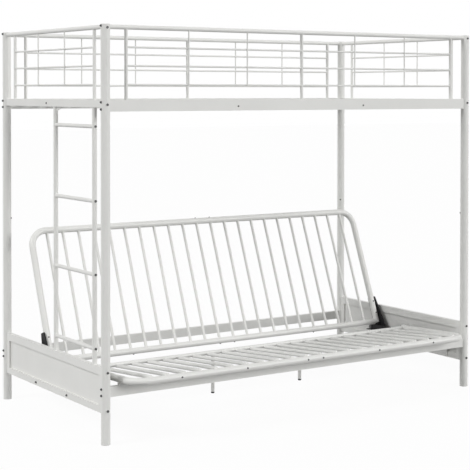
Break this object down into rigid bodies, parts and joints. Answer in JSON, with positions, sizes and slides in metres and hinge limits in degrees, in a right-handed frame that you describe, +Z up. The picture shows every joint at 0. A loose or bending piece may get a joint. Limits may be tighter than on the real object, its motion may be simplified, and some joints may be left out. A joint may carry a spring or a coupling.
{
  "type": "loft bed with sofa",
  "caption": "White metal loft bed with guard rails and an end ladder over a slatted metal sofa that draws out flat into a lower bed.",
  "frame": {"origin": "on the floor, under the middle of the bounding box, the sofa at rest; the bed frame's own middle is 45 mm behind it", "axes": "+X along the length towards the end without the ladder, +Y towards the back, +Z up; the sofa faces -Y"},
  "size_m": [2.009, 1.1092, 1.704],
  "materials": {
    "white_metal": "satin powder coat",
    "black_metal": "satin powder coat",
    "bolt_steel": "zinc plated",
    "white_plastic": "moulded",
    "black_plastic": "moulded"
  },
  "bodies": {
    "frame": {"post_front_left": "white_metal", "post_front_right": "white_metal", "post_back_left": "white_metal", "post_back_right": "white_metal", "post_caps": "white_plastic", "floor_glides": "white_plastic", "post_bolts": "bolt_steel", "post_inner_screws": "bolt_steel", "guard_top_rail_front": "white_metal", "guard_top_rail_back": "white_metal", "guard_top_rail_left": "white_metal", "guard_top_rail_right": "white_metal", "guard_uprights": "white_metal", "guard_wires": "white_metal", "guard_rods": "white_metal", "bed_rail_front": "white_metal", "bed_rail_back": "white_metal", "bed_rail_left": "white_metal", "bed_rail_right": "white_metal", "bed_slats": "white_metal", "bed_rail_screws": "bolt_steel", "low_rail_front": "white_metal", "low_rail_back": "white_metal", "panel_top_rails": "white_metal", "panel_low_rails": "white_metal", "panel_sheets": "white_metal", "panel_stiles": "white_metal", "ladder_stiles": "white_metal", "ladder_rungs": "white_metal", "ladder_bolts": "bolt_steel", "ladder_gusset": "white_metal", "runners": "black_metal", "runner_hangers": "white_metal", "hanger_spacers": "white_metal", "runner_bolts": "bolt_steel", "seat_glide_pads": "white_plastic"},
    "seat": {"seat_end_tube_left": "white_metal", "seat_end_tube_right": "white_metal", "seat_front_tube": "white_metal", "seat_tube_sleeves": "bolt_steel", "seat_rear_rail": "white_metal", "seat_bars": "white_metal", "seat_legs": "white_metal", "leg_tips": "black_plastic", "seat_tube_plugs": "black_plastic", "seat_screws": "bolt_steel", "hinge_arm_left": "black_metal", "hinge_arm_right": "black_metal", "hinge_pins": "bolt_steel"},
    "back": {"back_end_tube_left": "white_metal", "back_end_tube_right": "white_metal", "back_top_tube": "white_metal", "back_tube_sleeves": "bolt_steel", "back_low_rail": "white_metal", "back_bars": "white_metal", "back_tube_plugs": "black_plastic", "back_screws": "bolt_steel", "hinge_plates": "black_metal"}
  },
  "joints": [
    {"name": "seat_draw", "type": "slide", "parent": "frame", "child": "seat", "axis": [0, -0.999, 0.0436], "range_m": [0, 0.282]},
    {"name": "back_lay_down", "type": "hinge", "parent": "seat", "child": "back", "pos_m": [0, 0.19194, 0.20206], "axis": [-1, 0, 0], "range_deg": [0, 68.5]}
  ],
  "couplings": [
    {"joint": "back_lay_down", "follows": "seat_draw", "rad_per_m": 4.239}
  ]
}
